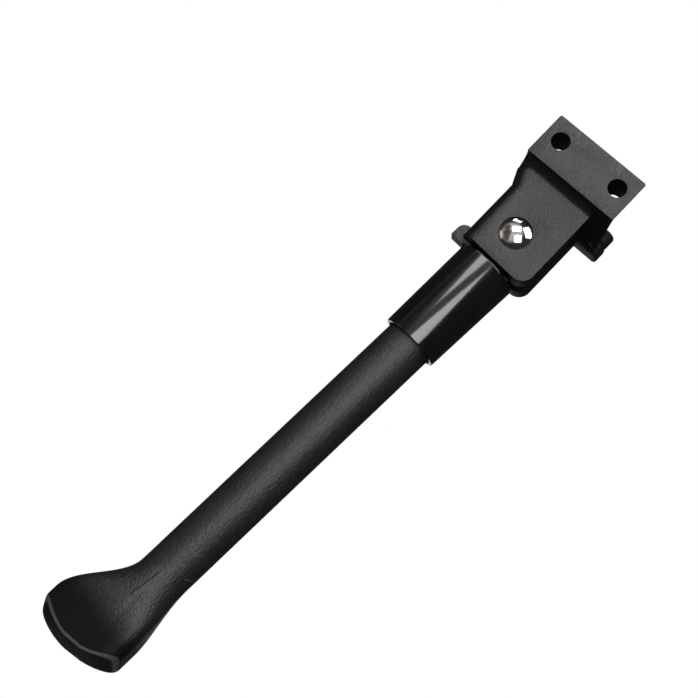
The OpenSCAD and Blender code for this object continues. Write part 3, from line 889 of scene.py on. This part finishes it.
class KICKSTAND_OT_spring(bpy.types.Operator):
    """Winds the spring that presses the sleeve against the bracket"""

    bl_idname = "kickstand.spring"
    bl_label = "Spring"

    def execute(self, context):
        sizes = context.scene.kickstand_sizes
        material = metal_material("spring_steel", (0.35, 0.35, 0.36), 0.3)
        tree = spring_tree(material)
        wire = sizes.spring_wire / 2
        low, high = 33 * MM, 15.5 * MM
        values = {
            "Coils": sizes.spring_coils,
            "Radius": sizes.spring_width / 2 - wire,
            "Wire Radius": wire,
            "Height": low - high - 2 * wire,
        }
        piece = link("wound_spring", bpy.data.meshes.new("wound_spring"))
        modifier = piece.modifiers.new("wire", "NODES")
        modifier.node_group = tree
        for item in tree.interface.items_tree:
            if item.item_type == "SOCKET" and item.in_out == "INPUT":
                modifier[item.identifier] = values[item.name]
        finish_modifiers(piece, 35)
        right, rear, up = leg_axes()
        turn = Matrix((right, rear, up)).transposed().to_4x4()
        piece.data.transform(Matrix.Translation(on_leg(0, 0, low - wire)) @ turn)
        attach(piece, body_of("detent_spring"))
        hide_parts("detent_spring")
        travel = SLIDE["range_m"][1]
        tuple(on_leg(0, 0, low))
        1 - travel / (low - high)
        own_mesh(piece)
        return {"FINISHED"}


class KICKSTAND_OT_fittings(bpy.types.Operator):
    """Gives the washers, the bush, the clip, the cross pin and the buffer their finishes"""

    bl_idname = "kickstand.fittings"
    bl_label = "Fittings"

    def execute(self, context):
        zinc = metal_material("zinc_steel", (0.6, 0.6, 0.6), 0.25)
        steel = metal_material("black_steel", (0.2, 0.2, 0.21), 0.35)
        nylon = nylon_material()
        finishes = {
            "rear_washer": zinc,
            "spring_seat": zinc,
            "spring_cap": zinc,
            "retaining_clip": steel,
            "cross_pin": steel,
            "pivot_bush": metal_material("bronze", (0.5, 0.36, 0.2), 0.35),
            "front_thrust_washer": nylon,
            "rear_thrust_washer": nylon,
            "rubber_buffer": rubber_material(),
        }
        for node, material in finishes.items():
            slots = frame["nodes"][node].data.materials
            slots.clear()
            slots.append(material)
        return {"FINISHED"}


def aim(azimuth, elevation):
    """Direction from the object, with the azimuth from its front towards its right, in degrees."""
    a, e = math.radians(azimuth), math.radians(elevation)
    return Vector((math.sin(a) * math.cos(e), -math.cos(a) * math.cos(e), math.sin(e)))


# Parts of the room that only reflections show: azimuth, elevation, inner and outer half-angle in
# degrees, and colour
ROOM = (
    (-22, 6, 30, 54, (0.56, 0.54, 0.52)),
    (-170, -6, 8, 22, (1.0, 1.0, 1.0)),
    (-54, 10, 6, 17, (0.1, 0.085, 0.075)),
    (-39, -10, 10, 24, (0.09, 0.08, 0.07)),
    (-28, -28, 6, 17, (0.1, 0.085, 0.075)),
    (-76, -30, 14, 24, (0.75, 0.68, 0.62)),
)


# Soft boxes: name, azimuth and elevation, the width and height they span in degrees, and glow
LAMPS = (
    ("upper_box", -19, 30, 34, 24, 5),
    ("top_box", -70, 56, 24, 14, 4),
    ("right_box", 36, 52, 30, 40, 4),
    ("lower_box", 16, 0, 30, 30, 5.5),
)
LAMP_DISTANCE = 1.1
LAMP_COLOUR = (1.0, 0.972, 0.945)
LIT_POINT = Vector((0.0, 0.0, -0.08))


def world_light(scene):
    """White behind the object for the camera, and a plain room for reflections."""
    world = bpy.data.worlds.new("studio")
    scene.world = world
    world.use_nodes = True
    nodes = Nodes(world.node_tree)
    path = nodes.add("ShaderNodeLightPath")
    seen = nodes.signal(path, "Is Camera Ray").maximum(nodes.signal(path, "Is Transmission Ray"))
    direction = nodes.add("ShaderNodeTexCoord").outputs["Generated"]
    room = (0.03, 0.03, 0.03)
    for azimuth, elevation, inner, outer, colour in ROOM:
        edges = (math.cos(math.radians(angle)) for angle in (outer, inner))
        mask = nodes.along(direction, aim(azimuth, elevation)).step(*edges)
        room = nodes.colour_mix(mask, room, colour)
    lit = nodes.colour_mix(nodes.signal(path, "Is Glossy Ray"), (0.05, 0.05, 0.05), room)
    final = nodes.colour_mix(seen, lit, (1, 1, 1))
    background = nodes.add("ShaderNodeBackground", {}, {"Color": final, "Strength": 1.0})
    nodes.add("ShaderNodeOutputWorld", {}, {"Surface": background.outputs[0]})


def soft_box(name, azimuth, elevation, wide, high, glow):
    """Lamp in a direction from the object, its size given as the angles it spans in degrees."""
    light = bpy.data.lights.new(name, "AREA")
    light.shape = "RECTANGLE"
    light.size = 2 * LAMP_DISTANCE * math.tan(math.radians(wide / 2))
    light.size_y = 2 * LAMP_DISTANCE * math.tan(math.radians(high / 2))
    light.energy = math.pi * light.size * light.size_y * glow
    light.color = LAMP_COLOUR
    lamp = link(name, light)
    place = LIT_POINT + aim(azimuth, elevation) * LAMP_DISTANCE
    turn = (LIT_POINT - place).to_track_quat("-Z", "Y").to_matrix().to_4x4()
    roll = Matrix.Rotation(bpy.context.scene.kickstand_stage.roll, 4, "Z")
    lamp.matrix_world = Matrix.Translation(place) @ turn @ roll


class KICKSTAND_OT_stage(bpy.types.Operator):
    """Sets the floor, the soft light and the camera"""

    bl_idname = "kickstand.stage"
    bl_label = "Stage"

    def execute(self, context):
        scene = context.scene
        stage = scene.kickstand_stage
        scene.view_settings.view_transform = "Standard"
        world_light(scene)
        for lamp in LAMPS:
            soft_box(*lamp)

        material, nodes = new_material("pale_floor")
        nodes.surface({"Base Color": (0.9, 0.9, 0.9, 1), "Roughness": 0.9})
        bm = bmesh.new()
        bmesh.ops.create_circle(
            bm, cap_ends=True, segments=96, radius=stage.floor_radius,
            matrix=Matrix.Translation((0, 0, stage.floor_height)))
        mesh = bpy.data.meshes.new("floor")
        bm.to_mesh(mesh)
        bm.free()
        mesh.materials.append(material)
        link("floor", mesh)

        camera = bpy.data.cameras.new("camera")
        camera.lens = stage.lens
        camera.sensor_width = 36
        camera.clip_start = 0.01
        place = Vector(stage.camera_place)
        forward = (Vector(stage.camera_target) - place).normalized()
        side = forward.cross(Vector((0, 0, 1))).normalized()
        rise = side.cross(forward)
        right = side * math.cos(stage.roll) + rise * math.sin(stage.roll)
        up = right.cross(forward)
        holder = link("camera", camera)
        turn = Matrix((right, up, -forward)).transposed().to_4x4()
        holder.matrix_world = Matrix.Translation(place) @ turn
        scene.camera = holder
        return {"FINISHED"}


OPERATORS = (
    KICKSTAND_OT_stage,
    KICKSTAND_OT_castings,
    KICKSTAND_OT_leg,
    KICKSTAND_OT_sleeve,
    KICKSTAND_OT_pin,
    KICKSTAND_OT_spring,
    KICKSTAND_OT_fittings,
)


class KICKSTAND_PT_build(bpy.types.Panel):
    """Lists the kickstand's pieces"""

    bl_idname = "KICKSTAND_PT_build"
    bl_label = "Kickstand"
    bl_space_type = "VIEW_3D"
    bl_region_type = "UI"
    bl_category = "Kickstand"

    def draw(self, context):
        for operator in OPERATORS:
            self.layout.operator(operator.bl_idname)
        for group_name, group in GROUPS.items():
            box = self.layout.box()
            for name in group.__annotations__:
                box.prop(getattr(context.scene, group_name), name)


GROUPS = {
    "kickstand_sizes": KickstandSizes,
    "kickstand_finish": KickstandFinish,
    "kickstand_stage": KickstandStage,
}


def register():
    for name, group in GROUPS.items():
        bpy.utils.register_class(group)
        setattr(bpy.types.Scene, name, PointerProperty(type=group))
    for cls in (*OPERATORS, KICKSTAND_PT_build):
        bpy.utils.register_class(cls)


def unregister():
    for cls in reversed((*OPERATORS, KICKSTAND_PT_build)):
        bpy.utils.unregister_class(cls)
    for name, group in GROUPS.items():
        delattr(bpy.types.Scene, name)
        bpy.utils.unregister_class(group)


def main():
    register()
    bpy.ops.kickstand.stage()
    bpy.ops.kickstand.castings()
    bpy.ops.kickstand.leg()
    bpy.ops.kickstand.sleeve()
    bpy.ops.kickstand.pin()
    bpy.ops.kickstand.spring()
    bpy.ops.kickstand.fittings()


if __name__ == "__main__":
    main()
